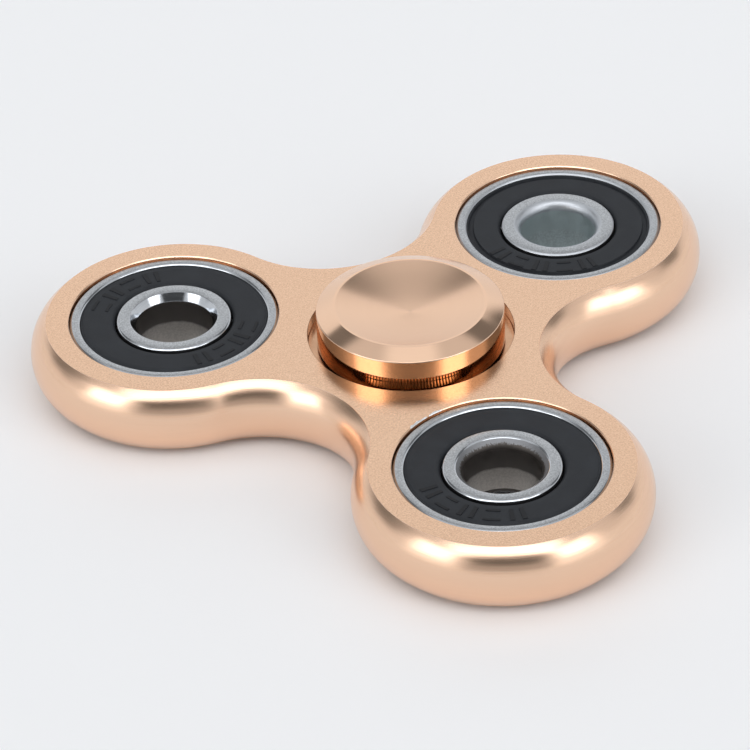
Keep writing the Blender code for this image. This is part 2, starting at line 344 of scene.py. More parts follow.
def ground_steel():
    """Ring faces: ground flat, with a close speckle and light handling marks."""
    s = Shader("ground_steel", STEEL, 1.0, 0.33)
    place = s.place()
    speckle = s.noise(place, 6500.0, 3.0, 0.7)
    cloud = s.noise(place, 700.0, 3.0, 0.6)
    fleck = s.ramp(speckle, 0.36, 0.64, 0.0, 1.0)
    s.colour(s.mixed(fleck, (0.36, 0.372, 0.385), (0.60, 0.62, 0.64)))
    s.rough(cloud, 0.3, 0.7, 0.28, 0.40)
    s.bump(speckle, 0.006 * MM)
    s.bump(s.noise(s.radius(5000.0), 1.0, 3.0), 0.002 * MM)
    return s.material


def chamfer_steel(name, roughness):
    """Turned chamfers and corner radii, with fine rings."""
    s = Shader(f"{name}_steel_chamfer", STEEL, 1.0, roughness)
    marks = s.noise(s.scaled(s.place(), (400.0, 400.0, 9000.0)), 1.0, 3.0)
    s.colour(s.mixed(marks, STEEL_DARK, STEEL))
    s.rough(marks, 0.3, 0.7, roughness * 0.8, roughness * 1.5)
    s.bump(marks, 0.001 * MM)
    return s.material


def worn_bevel_steel():
    """A hand-worn bevel: dull grey, with a ragged dark edge where it meets the bore."""
    s = Shader("worn_steel_bevel", (0.30, 0.30, 0.31), 1.0, 0.55)
    place = s.place()
    height = s.math("ABSOLUTE", s.dot(place, (0.0, 0.0, 1.0)))
    ragged_noise = s.noise(s.scaled(place, (5200.0, 5200.0, 900.0)), 1.0, 3.0, 0.6)
    edge = s.math("ADD", height, s.math("MULTIPLY", ragged_noise, 0.75 * MM))
    speckle = s.noise(place, 7000.0, 2.0)
    lighter_tone = s.mixed(speckle, (0.19, 0.19, 0.20), (0.33, 0.335, 0.345))
    # Darker below a ragged line towards the bore.
    dark_below, lighter_above = 3.30 * MM, 3.46 * MM
    toward_lighter = s.smooth(edge, dark_below, lighter_above, 0.0, 1.0)
    s.colour(s.mixed(toward_lighter, (0.11, 0.098, 0.09), lighter_tone))
    s.rough(speckle, 0.3, 0.7, 0.48, 0.62)
    s.bump(speckle, 0.006 * MM)
    return s.material


def shaded_bore_steel(name, upper, lower, roughness):
    """Honed bore walls with fine rings: darker towards the mouth that faces up, which is painted
    shade, and lighter lower down, which is a painted reflection of the floor.
    """
    s = Shader(f"{name}_shaded_bore_steel", upper, 1.0, roughness)
    place = s.place()
    shade_mottle = s.noise(place, 900.0, 4.0, 0.6)
    fine = s.noise(place, 4500.0, 3.0, 0.6)
    edge = s.math("ADD", s.dot(place, (0.0, 0.0, 1.0)), s.math("MULTIPLY", shade_mottle, 0.35 * MM))
    worn = tuple(share * 0.85 for share in lower)
    lighter_tone = s.mixed(s.smooth(fine, 0.38, 0.62, 0.0, 1.0), worn, lower)
    # Painted shade in the upper band and a painted reflection of the floor in the lower band, split
    # along a ragged line.
    reflection_below, shaded_above = 0.12 * MM, 0.5 * MM
    s.colour(s.mixed(s.smooth(edge, reflection_below, shaded_above, 0.0, 1.0), lighter_tone, upper))
    s.rough(shade_mottle, 0.3, 0.7, roughness * 0.85, roughness * 1.2)
    s.bump(fine, 0.002 * MM)
    return s.material


def track_steel():
    """Ball tracks and seal seats, hidden behind the seals and filmed with grease."""
    s = Shader("greased_track_steel", (0.16, 0.16, 0.165), 1.0, 0.4)
    lines = s.noise(s.scaled(s.place(), (600.0, 600.0, 6000.0)), 1.0, 2.0)
    s.colour(s.mixed(lines, (0.12, 0.12, 0.125), (0.2, 0.2, 0.21)))
    s.rough(lines, 0.3, 0.7, 0.35, 0.5)
    return s.material


def seal_rubber():
    """Moulded nitrile: matte and finely pitted, with a dusty bloom."""
    s = Shader("black_seal_rubber", (0.018, 0.02, 0.024), 0.0, 0.62, Specular_IOR_Level=0.35)
    place = s.place()
    pits = s.noise(place, 6000.0, 3.0, 0.7)
    bloom = s.noise(place, 380.0, 4.0, 0.6)
    dust = s.ramp(bloom, 0.4, 0.7, 0.0, 1.0)
    s.colour(s.mixed(dust, (0.014, 0.016, 0.02), (0.026, 0.029, 0.034)))
    s.rough(bloom, 0.3, 0.7, 0.55, 0.75)
    s.bump(pits, 0.012 * MM)
    return s.material


def mark_rubber():
    """The raised marks: the mould is smoother there, so they read darker than the seal."""
    s = Shader("raised_mark_rubber", (0.006, 0.007, 0.009), 0.0, 0.5, Specular_IOR_Level=0.3)
    pits = s.noise(s.place(), 6000.0, 3.0, 0.7)
    s.colour(s.mixed(pits, (0.004, 0.005, 0.007), (0.010, 0.011, 0.014)))
    s.rough(pits, 0.3, 0.7, 0.45, 0.6)
    s.bump(pits, 0.006 * MM)
    return s.material


def pressed_steel():
    """Shields of the centre bearing: pressed sheet."""
    s = Shader("pressed_shield_steel", (0.55, 0.56, 0.57), 1.0, 0.35)
    grain = s.noise(s.place(), 5000.0, 3.0)
    s.colour(s.mixed(grain, (0.48, 0.49, 0.5), (0.6, 0.61, 0.62)))
    s.rough(grain, 0.3, 0.7, 0.28, 0.42)
    s.bump(grain, 0.004 * MM)
    return s.material


def cage_nylon():
    """Moulded natural nylon, a little translucent."""
    s = Shader("nylon_cage", (0.62, 0.56, 0.44), 0.0, 0.45, Subsurface_Weight=0.1)
    mottle = s.noise(s.place(), 900.0, 3.0)
    s.colour(s.mixed(mottle, (0.56, 0.5, 0.38), (0.68, 0.62, 0.5)))
    s.rough(mottle, 0.3, 0.7, 0.4, 0.55)
    s.bump(s.noise(s.place(), 4000.0, 2.0), 0.005 * MM)
    return s.material


def ball_steel():
    """Lapped balls with a trace of grease."""
    s = Shader("lapped_ball_steel", (0.76, 0.77, 0.79), 1.0, 0.05)
    grease = s.noise(s.place(), 1500.0, 3.0)
    s.colour(s.mixed(grease, (0.7, 0.71, 0.73), (0.8, 0.81, 0.83)))
    s.rough(grease, 0.35, 0.7, 0.03, 0.14)
    return s.material


def paper_floor():
    """Pale matte paper sweep."""
    s = Shader("pale_floor", (0.885, 0.885, 0.89), 0.0, 0.9, Specular_IOR_Level=0.1)
    cloud = s.noise(s.place(), 9.0, 2.0)
    s.colour(s.mixed(cloud, (0.881, 0.881, 0.886), (0.889, 0.889, 0.894)))
    s.bump(s.noise(s.place(), 3000.0, 2.0), 0.004 * MM)
    return s.material


# ---------------------------------------------------------------- mesh tools


def piece(name, mesh, body, stands_for, centre=(0.0, 0.0, 0.0), flipped=False):
    """Place a finished mesh, keep its flat faces flat in shading, and tie it to the frame."""
    made = bpy.data.objects.new(name, mesh)
    bpy.context.scene.collection.objects.link(made)
    made.location = centre
    if flipped:
        made.rotation_euler = (math.pi, 0.0, 0.0)
    weighted = made.modifiers.new("even_shading", "WEIGHTED_NORMAL")
    weighted.keep_sharp = True
    weighted.weight = 100
    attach(made, body)
    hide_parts(stands_for)
    return made


def finish_mesh(name, bm, materials, sharp_angle=32.0):
    bmesh.ops.recalc_face_normals(bm, faces=bm.faces)
    mesh = bpy.data.meshes.new(name)
    bm.to_mesh(mesh)
    bm.free()
    for material in materials:
        mesh.materials.append(material)
    mesh.shade_smooth()
    mesh.set_sharp_from_angle(angle=math.radians(sharp_angle))
    return mesh


STRAIGHT = math.radians(8.0)        # a corner that turns less than this stays as it is
CORNER_REACH = 0.45                 # how much of a corner's shorter side its arc may take


def rounded(points, radius, steps=3, closed=False):
    """Replace each corner of a list of (r, z, material) points by a small arc."""
    result = []
    count = len(points)
    for i, (r, z, material) in enumerate(points):
        if not closed and i in (0, count - 1):
            result.append((r, z, material))
            continue
        here = Vector((r, z))
        before = Vector(points[i - 1][:2]) - here
        after = Vector(points[(i + 1) % count][:2]) - here
        turn = math.pi - before.angle(after)
        if turn < STRAIGHT:
            result.append((r, z, material))
            continue
        shorter = min(before.length, after.length)
        reach = min(radius * math.tan(turn / 2.0), shorter * CORNER_REACH)
        start = here + before.normalized() * reach
        end = here + after.normalized() * reach
        for step in range(steps + 1):
            t = step / steps
            point = start * (1 - t) ** 2 + here * (2 * t * (1 - t)) + end * t ** 2
            result.append((point.x, point.y, material))
    return result


def turned(name, profile, segments, materials, closed=True, sharp_angle=32.0):
    """Turn (r, z, material) points about Z. A point's material is that of the band it starts."""
    bm = bmesh.new()
    rings = []
    for r, z, _ in profile:
        if r < 1e-9:
            rings.append([bm.verts.new((0.0, 0.0, z))] * segments)
            continue
        ring = []
        for i in range(segments):
            turn = math.tau * i / segments
            ring.append(bm.verts.new((r * math.cos(turn), r * math.sin(turn), z)))
        rings.append(ring)
    bands = len(profile) if closed else len(profile) - 1
    for band in range(bands):
        low, high = rings[band], rings[(band + 1) % len(profile)]
        for i in range(segments):
            j = (i + 1) % segments
            corners = list(dict.fromkeys((low[i], low[j], high[j], high[i])))
            face = bm.faces.new(corners)
            face.material_index = profile[band][2]
    return finish_mesh(name, bm, materials, sharp_angle)


def mirrored(upper, wall):
    """A closed profile from its upper half, each band's material kept; wall closes it."""
    on_plane = upper[-1][1] == 0.0
    lower = []
    for i in range(len(upper) - (2 if on_plane else 1), -1, -1):
        r, z, _ = upper[i]
        lower.append((r, -z, upper[i - 1][2] if i else wall))
    return upper + lower


# ---------------------------------------------------------------- body

FLAT, EDGE, CUT, RIBBED, BARE, RECESS, PAINTED_SHADE = 0, 1, 2, 3, 4, 5, 6
LOBE_STEPS = 112
HOLLOW_STEPS = 56
EDGE_STEPS = 28
EDGE_SHARE = 0.975                  # how much of the edge's arc is kept before it eases into a flat
EDGE_EASE = 0.03 * MM
EDGE_EASE_DROP = 0.012 * MM
BORE_SEGMENTS = 224
BORE_LIP = 0.03 * MM
SEAT_CHAMFER = 0.1 * MM
RIBS = 172
RIB_DEPTH = 0.025 * MM
RIB_SHAPE = (0.0, 0.5, 1.0, 0.5)
PAINTED_SHADE_BANDS = (1, 2, 3, 4)
# The recess's wall from its edge down, in millimetres: outwards from its radius, down from the
# face, how far chatter has cut it inwards, and the material of the band that starts there
# The recess's edge band takes painted shade, and the RECESS bands take the floor's deeper,
# painted-shade colour.
RECESS_ROWS = ((0.03, 0.0, 0.0, PAINTED_SHADE), (0.0, 0.03, 0.0, RIBBED), (0.0, 0.09, 0.001, RIBBED),
               (0.0, 0.29, 0.13, RIBBED), (0.0, 0.42, 0.131, RIBBED), (0.0, 0.92, 0.455, RIBBED),
               (0.0, 1.24, 0.456, RECESS), (-0.06, 1.3, 0.456, RECESS))
CHATTER_MIDDLE = math.radians(-80.0)
CHATTER_HALF = math.radians(44.0)
CHATTER_FADE = math.radians(18.0)
# Chips in one bore's edge: from and to, in degrees round the bore, and depth
CHIPS = ((133.0, 138.5, 0.17 * MM), (142.0, 144.0, 0.08 * MM), (145.5, 153.0, 0.2 * MM))


def arc(centre, radius, start, end, steps):
    for step in range(steps):
        turn = start + (end - start) * step / steps
        out = Vector((math.cos(turn), math.sin(turn), 0.0))
        yield centre + out * radius, out


def body_outline():
    """The body's outline at the mid-plane: (point, outward normal), lobes and hollows tangent."""
    reach = LOBE_RADIUS + HOLLOW_RADIUS
    half_step = math.pi / 3.0
    hollow_distance = (LOBE_DISTANCE * math.cos(half_step)
                       + math.sqrt(reach ** 2 - (LOBE_DISTANCE * math.sin(half_step)) ** 2))
    contact = math.asin(hollow_distance * math.sin(half_step) / reach)
    outline = []
    for centre in LOBES.values():
        facing = math.atan2(centre.y, centre.x)
        swing = math.pi - contact
        outline += arc(centre, LOBE_RADIUS, facing - swing, facing + swing, LOBE_STEPS)
        across = facing + half_step
        hollow = Vector((math.cos(across), math.sin(across), 0.0)) * hollow_distance
        open_half = math.pi - half_step - contact
        outline += [(point, -out) for point, out in arc(
            hollow, HOLLOW_RADIUS, across + math.pi + open_half,
            across + math.pi - open_half, HOLLOW_STEPS)]
    return outline


def edge_section():
    """Inset and height up the rounded edge, eased into the flats at each end."""
    edge_radius = (HALF_BODY ** 2 + EDGE_ROUND ** 2) / (2.0 * EDGE_ROUND)
    half_angle = math.asin(HALF_BODY / edge_radius)
    section = []
    for step in range(EDGE_STEPS + 1):
        turn = half_angle * EDGE_SHARE * (2.0 * step / EDGE_STEPS - 1.0)
        section.append((edge_radius * (1.0 - math.cos(turn)), edge_radius * math.sin(turn)))
    for share in (0.55, 1.0):
        height = HALF_BODY - EDGE_EASE_DROP * (1.0 - share)
        section.append((section[-1][0] + EDGE_EASE * share, height))
        section.insert(0, (section[0][0] + EDGE_EASE * share, -height))
    return section


def circle(bm, centre, radius, z, segments):
    ring = []
    for i in range(segments):
        turn = math.tau * i / segments
        ring.append(bm.verts.new((centre.x + radius * math.cos(turn),
                                  centre.y + radius * math.sin(turn), z)))
    return ring


def bridge(bm, low, high, material, path=None, lengths=None, heights=None):
    """Quads between two equal loops, with an optional map of distance along and across."""
    faces = []
    for i in range(len(low)):
        j = (i + 1) % len(low)
        face = bm.faces.new((low[i], low[j], high[j], high[i]))
        face.material_index = material
        faces.append(face)
        if path is not None:
            along = (lengths[i], lengths[i + 1], lengths[i + 1], lengths[i])
            across = (heights[0], heights[0], heights[1], heights[1])
            for loop, u, v in zip(face.loops, along, across):
                loop[path].uv = (u, v)
    return faces


def chatter_share(turn):
    """How deep the chatter is at an angle round the recess: full in one sector, then fading out."""
    away = abs((turn - CHATTER_MIDDLE + math.pi) % math.tau - math.pi)
    return min(1.0, max(0.0, (CHATTER_HALF - away) / CHATTER_FADE))


def ribbed_wall(bm, side):
    """The recess's wall, with its chatter ribs, and its floor down to the bearing's seat."""
    segments = RIBS * len(RIB_SHAPE)
    turns = [math.tau * i / segments for i in range(segments)]
    centre = Vector()
    rings = []
    for out, down, inward, _ in RECESS_ROWS:
        radius = RECESS_RADIUS + out * MM
        ring = circle(bm, centre, radius, side * (HALF_BODY - down * MM), segments)
        if inward:
            for i, vert in enumerate(ring):
                rib = RIB_SHAPE[i % len(RIB_SHAPE)] * RIB_DEPTH
                vert.co.xy *= 1.0 - (inward * MM + rib) * chatter_share(turns[i]) / radius
        rings.append(ring)
    seat = CENTRE_BEARING["outside"]
    rings.append(circle(bm, centre, seat + SEAT_CHAMFER, side * HALF_WEB, segments))
    rings.append(circle(bm, centre, seat, side * (HALF_WEB - SEAT_CHAMFER), segments))
    materials = [material for _, _, _, material in RECESS_ROWS] + [RECESS]
    for band, material in enumerate(materials):
        faces = bridge(bm, rings[band], rings[band + 1], material)
        # Painted shade: one flank of each rib in the chattered sector takes the dark painted-shade
        # material.
        if band in PAINTED_SHADE_BANDS:
            for i, face in enumerate(faces):
                if i % len(RIB_SHAPE) < 2 and chatter_share(turns[i]) > 0.0:
                    face.material_index = PAINTED_SHADE
    return rings[0], rings[-1]


def chip_edge(edge, chamfer, wall, centre):
    """Push short lengths of a bore's edge outwards, and bare the metal down to the wall there."""
    for start, end, depth in CHIPS:
        for i, vert in enumerate(edge):
            turn = 360.0 * i / len(edge)
            if start <= turn <= end:
                out = (vert.co - centre).xy.normalized()
                wobble = 0.6 + 0.4 * math.sin(i * 2.4)
                vert.co.xy += out * depth * wobble
                wall[i].co.xy -= out * PRESS_GAP * 0.5
                for face in set(chamfer[i].link_faces):
                    face.material_index = BARE


def body_mesh(materials):
    bm = bmesh.new()
    path = bm.loops.layers.uv.new("path")
    outline = body_outline()
    lengths = [0.0]
    for (here, _), (there, _) in zip(outline, outline[1:] + outline[:1]):
        lengths.append(lengths[-1] + (there - here).length)
    section = edge_section()
    layers = []
    for inset, z in section:
        layers.append([bm.verts.new(point - out * inset + Vector((0, 0, z)))
                       for point, out in outline])
    height = 0.0
    for k in range(len(section) - 1):
        step = math.dist(section[k], section[k + 1])
        bridge(bm, layers[k], layers[k + 1], EDGE, path, lengths, (height, height + step))
        height += step
    loops = {1.0: [layers[-1]], -1.0: [layers[0]]}
    bore = LOBE_BEARING["outside"]
    bore_rows = [(bore + BORE_CHAMFER * 0.7, HALF_BODY),
                 (bore + BORE_CHAMFER * 0.45, HALF_BODY - BORE_LIP),
                 (bore, HALF_BODY - BORE_CHAMFER * 0.8)]
    rows = bore_rows + [(r, -z) for r, z in reversed(bore_rows)]
    for centre in LOBES.values():
        rings = [circle(bm, centre, r, z, BORE_SEGMENTS) for r, z in rows]
        # The bore wall's RECESS band takes the deeper, painted-shade gold.
        for low, high, material in zip(rings, rings[1:], (CUT, CUT, RECESS, CUT, CUT)):
            bridge(bm, low, high, material)
        if centre is LOBES[2]:
            chip_edge(rings[0], rings[1], rings[2], centre)
        loops[1.0].append(rings[0])
        loops[-1.0].append(rings[-1])
    upper_edge, upper_mouth = ribbed_wall(bm, 1.0)
    lower_edge, lower_mouth = ribbed_wall(bm, -1.0)
    bridge(bm, upper_mouth, lower_mouth, CUT)
    loops[1.0].append(upper_edge)
    loops[-1.0].append(lower_edge)
    for rings in loops.values():
        edges = []
        for ring in rings:
            for i in range(len(ring)):
                edges.append(bm.edges.get((ring[i], ring[(i + 1) % len(ring)])))
        filled = bmesh.ops.triangle_fill(bm, use_beauty=True, edges=edges)
        for face in filled["geom"]:
            if isinstance(face, bmesh.types.BMFace):
                face.material_index = FLAT
    return finish_mesh("body_fine", bm, materials, sharp_angle=20.0)


# ---------------------------------------------------------------- caps

DISH, LAND, SIDE, UNDER = 0, 1, 2, 3
CAP_SEGMENTS = 288
DISH_STEPS = 26
DIMPLE_RADIUS = 0.08 * MM
DIMPLE_DEPTH = 0.01 * MM
RIM_ROUND = 0.17 * MM
SMALL_ROUND = 0.06 * MM
BOSS_GAP = 0.1 * MM


def cap_mesh(size, top, materials):
    """Dish, flat land, chamfer, polished side, and the hidden boss and spigot."""
    depth = size["dish_depth"]
    sphere = (DISH_RADIUS ** 2 + depth ** 2) / (2.0 * depth)
    half_angle = math.asin(DISH_RADIUS / sphere)
    profile = [(0.0, top - depth - DIMPLE_DEPTH, DISH), (DIMPLE_RADIUS, top - depth, DISH)]
    for step in range(DISH_STEPS):
        turn = half_angle * (step + 1) / DISH_STEPS
        rise = sphere * (1.0 - math.cos(turn))
        profile.append((sphere * math.sin(turn), top - depth + rise, DISH))
    underside = HALF_WEB + CAP_FLOOR_GAP
    boss = CENTRE_BEARING["inner_shoulder"] - BOSS_GAP
    spigot = CENTRE_BEARING["bore"] - PRESS_GAP
    seat = CENTRE_BEARING["half_width"] + PRESS_GAP
    profile[-1] = (*profile[-1][:2], LAND)
    land = (DISH_RADIUS + CAP_LAND, top, LAND)
    foot = (CAP_RADIUS, underside, UNDER)
    shoulder = (CAP_RADIUS, HALF_BODY + size["shoulder"], LAND)
    rim = rounded([land, shoulder, foot], RIM_ROUND, 9)[1:-1]
    rim[-1] = (*rim[-1][:2], SIDE)
    profile += [
        land, *rim, foot,
        (boss, underside, UNDER),
        (boss, seat, UNDER),
        (spigot, seat, UNDER),
        (spigot, SPIGOT_GAP, UNDER),
        (0.0, SPIGOT_GAP, UNDER),
    ]
    profile = rounded(profile, SMALL_ROUND, 4)
    return turned("cap_fine", profile, CAP_SEGMENTS, materials, closed=False)


# ---------------------------------------------------------------- bearings

FACE, BRIGHT, BORE, TRACK, WORN = 0, 1, 2, 3, 4
TRACK_STEPS = 8
# A broken edge between a ring's face and its wall, as shares of the facet: out from the wall,
# down from the face, and the material of the band that starts there
FACET_ROWS = ((1.0, 0.0, BRIGHT), (0.85, 0.06, BRIGHT), (0.1, 0.85, BRIGHT), (0.0, 1.0, TRACK))


def track_arc(size, direction):
    """Points of a ball track, a little wider than the ball, from its upper lip to the middle."""
    radius = size["ball"] + size["groove"]
    shoulder = size["outer_shoulder"] if direction > 0 else size["inner_shoulder"]
    lip = math.acos(abs(shoulder - size["pitch"]) / radius)
    points = []
    for step in range(TRACK_STEPS + 1):
        turn = lip * (1.0 - step / TRACK_STEPS)
        points.append((size["pitch"] + direction * radius * math.cos(turn),
                       radius * math.sin(turn), TRACK))
    return points


def broken_edge(wall, half, facet, direction):
    """Points from a ring's face to its wall; the face lies outwards or inwards of the wall."""
    return [(wall + direction * facet * out, half - facet * down, look)
            for out, down, look in FACET_ROWS]


def outer_ring_mesh(size, materials):
    outside = size["outside"] - PRESS_GAP
    seat_floor = size["seal_top"] - size["seal_thickness"] - PRESS_GAP
    half = size["half_width"]
    outer_round = size["chamfer"]
    seat = size["seal_seat"]
    upper = [(outside, half - outer_round, BRIGHT),
             (outside - 0.08 * outer_round, half - 0.78 * outer_round, BRIGHT),
             (outside - 0.92 * outer_round, half - 0.04 * outer_round, BRIGHT),
             (outside - outer_round, half, FACE)]
    upper += broken_edge(seat, half, size["facet"], 1.0)
    upper += [(seat, seat_floor, TRACK), (size["outer_shoulder"], seat_floor, TRACK)]
    upper += track_arc(size, 1.0)
    return turned("outer_ring_fine", mirrored(upper, BRIGHT), size["segments"], materials)


# Bore mouths, as (out from the bore, down from the face) in millimetres, and band materials
CRISP_MOUTH = ((0.0, 0.83, BRIGHT), (0.04, 0.73, BRIGHT), (0.55, 0.07, BRIGHT),
               (0.585, 0.018, BRIGHT), (0.63, 0.0, FACE))
WORN_MOUTH = ((0.0, 1.05, WORN), (0.06, 0.74, WORN), (0.18, 0.55, WORN), (0.36, 0.36, WORN),
              (0.60, 0.16, WORN), (0.63, 0.13, BRIGHT), (0.745, 0.015, BRIGHT), (0.80, 0.0, FACE))
ROUND_MOUTH = ((0.0, 1.0, BRIGHT), (0.02, 0.78, BRIGHT), (0.07, 0.58, BRIGHT),
               (0.15, 0.41, BRIGHT), (0.26, 0.26, BRIGHT), (0.38, 0.14, BRIGHT),
               (0.5, 0.06, BRIGHT), (0.62, 0.015, BRIGHT), (0.72, 0.0, FACE))
PLAIN_MOUTH = ((0.0, 0.15, BRIGHT), (0.15, 0.0, FACE))


def inner_ring_mesh(size, mouth, materials):
    """Bore, mouth, ground face, rounded outer edge and ball track."""
    half = size["half_width"]
    upper = [(size["bore"] + out * MM, half - down * MM, look) for out, down, look in mouth]
    upper += broken_edge(size["inner_shoulder"], half, size["facet"], -1.0)
    upper += track_arc(size, -1.0)
    return turned("inner_ring_fine", mirrored(upper, BORE), size["segments"], materials)


MARK_ROWS = (7.15 * MM, 7.45 * MM, 8.65 * MM, 8.95 * MM)
MARK_HEIGHT = 0.06 * MM
MARK_WIDTH = 7                      # in segments of the seal
MARK_PITCH = 11
MARK_ANGLES = {1: ((112.0, 4), (-62.0, 4)), 2: ((-148.0, 5),), 3: ((-136.0, 5),)}


def seal_mesh(size, materials, mark_angles=(), grooved=False):
    """A moulded seal: bead at the ring, flat web, and a lip that dips to the inner ring."""
    lip = size["inner_shoulder"] + size["lip_gap"]
    edge = size["seal_seat"] - PRESS_GAP
    top = size["seal_top"]
    low = top - size["seal_thickness"]
    web = edge - lip
    dip = 0.35 * size["seal_thickness"]
    profile = [(lip, top - dip * 1.6), (lip + web * 0.03, top - dip * 0.9),
               (lip + web * 0.09, top - dip * 0.15), (lip + web * 0.14, top)]
    if mark_angles:
        profile += [(r, top) for r in MARK_ROWS]
    if grooved:
        profile += [(edge - web * 0.21, top), (edge - web * 0.185, top - dip * 0.9),
                    (edge - web * 0.07, top - dip * 1.05), (edge - web * 0.045, top - 0.02 * MM)]
    else:
        profile += [(edge - web * 0.07, top), (edge - web * 0.055, top - 0.05 * MM),
                    (edge - web * 0.035, top - 0.03 * MM)]
    profile += [(edge - web * 0.02, top - 0.01 * MM), (edge, top - 0.06 * MM),
                (edge, low), (lip, low)]
    mesh = turned("seal_fine", [(r, z, 0) for r, z in profile], size["segments"], materials,
                  sharp_angle=50.0)
    if mark_angles:
        raise_marks(mesh, size["segments"], mark_angles)
    return mesh


def marked(row, column):
    """Whether a mark is raised at a row and column: pairs of bars, then pairs of dashes."""
    place = column % MARK_PITCH
    if place >= MARK_WIDTH:
        return False
    if column // MARK_PITCH % 2:
        return row in (0, 2)
    return place < 2 or place >= MARK_WIDTH - 2


def raise_marks(mesh, segments, mark_angles):
    """Plain raised bars and dashes in a row along the seal: a pattern, with no characters."""
    bm = bmesh.new()
    bm.from_mesh(mesh)
    chosen = []
    for face in bm.faces:
        middle = face.calc_center_median()
        radius = middle.xy.length
        if face.normal.z < 0.9 or not MARK_ROWS[0] < radius < MARK_ROWS[-1]:
            continue
        row = sum(radius > limit for limit in MARK_ROWS[1:])
        turn = math.degrees(math.atan2(middle.y, middle.x))
        for start, count in mark_angles:
            column = int(((turn - start) % 360.0) * segments / 360.0)
            if column < count * MARK_PITCH and marked(row, column):
                chosen.append(face)
    for face in chosen:
        face.material_index = 1
    raised = bmesh.ops.extrude_face_region(bm, geom=chosen)
    bmesh.ops.delete(bm, geom=chosen, context="FACES")
    verts = [v for v in raised["geom"] if isinstance(v, bmesh.types.BMVert)]
    bmesh.ops.translate(bm, verts=verts, vec=(0.0, 0.0, MARK_HEIGHT))
    bm.to_mesh(mesh)
    bm.free()
    mesh.set_sharp_from_angle(angle=math.radians(50.0))


CAGE_POCKET_GAP = 0.12 * MM
CAGE_SEAL_GAP = 0.08 * MM
CAGE_CROWN = 0.5                    # height above the balls' middle, as a share of their radius
POCKET_STEPS = 24
SPACER_STEPS = 6


def cage_mesh(size, materials):
    """Crown cage: a ring whose upper edge dips into an open pocket under each ball."""
    pocket = size["ball"] + CAGE_POCKET_GAP
    base = -(size["seal_top"] - size["seal_thickness"] - CAGE_SEAL_GAP)
    crown = CAGE_CROWN * size["ball"]
    edge = [(-math.asin(pocket / size["pitch"]), crown)]
    for step in range(POCKET_STEPS + 1):
        part = -math.cos(math.pi * step / POCKET_STEPS)
        depth = pocket * math.sqrt(max(0.0, 1.0 - part ** 2))
        edge.append((math.asin(part * pocket / size["pitch"]), -depth))
    edge.append((math.asin(pocket / size["pitch"]), crown))
    inner = size["pitch"] - size["cage_wall"]
    outer = size["pitch"] + size["cage_wall"]
    bm = bmesh.new()
    columns = []
    for ball in range(size["balls"]):
        middle = math.tau * ball / size["balls"]
        bridge_start = math.asin(pocket / size["pitch"])
        bridge_end = math.tau / size["balls"] - bridge_start
        spacers = [(bridge_start + (bridge_end - bridge_start) * k / SPACER_STEPS, crown)
                   for k in range(1, SPACER_STEPS)]
        for turn, top in edge + spacers:
            spoke = Vector((math.cos(middle + turn), math.sin(middle + turn), 0.0))
            corners = [spoke * inner + Vector((0.0, 0.0, base)),
                       spoke * outer + Vector((0.0, 0.0, base)),
                       spoke * outer + Vector((0.0, 0.0, top)),
                       spoke * inner + Vector((0.0, 0.0, top))]
            columns.append([bm.verts.new(corner) for corner in corners])
    for i, here in enumerate(columns):
        there = columns[(i + 1) % len(columns)]
        for low in range(4):
            high = (low + 1) % 4
            bm.faces.new((here[low], here[high], there[high], there[low]))
    bmesh.ops.remove_doubles(bm, verts=bm.verts, dist=0.0005 * MM)
    return finish_mesh("cage_fine", bm, materials)


def ball_mesh(radius, materials):
    bm = bmesh.new()
    bmesh.ops.create_uvsphere(bm, u_segments=32, v_segments=20, radius=radius)
    return finish_mesh("ball_fine", bm, materials, sharp_angle=80.0)


def build_bearing(prefix, size, centre, bodies, mouth, looks, covers):
    """Fine versions of one bearing's pieces, each on the body that its CAD node rides on."""
    steel, cover_look, cage_look, ball_look = looks
    outer_body, inner_body, cage_body = bodies
    piece(f"{prefix}_outer_ring_fine", outer_ring_mesh(size, steel), outer_body,
          f"{prefix}_outer_ring", centre)
    piece(f"{prefix}_inner_ring_fine", inner_ring_mesh(size, mouth, steel), inner_body,
          f"{prefix}_inner_ring", centre)
    for cover, slot, mark_angles, grooved, flipped in covers:
        mesh = seal_mesh(size, cover_look, mark_angles, grooved)
        piece(f"{prefix}_{cover}_fine", mesh, outer_body, f"{prefix}_{cover}", centre,
              flipped)
    piece(f"{prefix}_cage_fine", cage_mesh(size, cage_look), cage_body,
          f"{prefix}_cage", centre)
    mesh = ball_mesh(size["ball"], ball_look)
    for number in range(size["balls"]):
        turn = math.tau * number / size["balls"]
        place = centre + Vector((math.cos(turn), math.sin(turn), 0.0)) * size["pitch"]
        piece(f"{prefix}_ball_{number + 1}_fine", mesh, cage_body,
              f"{prefix}_ball_{number + 1}", place)


# ---------------------------------------------------------------- the object


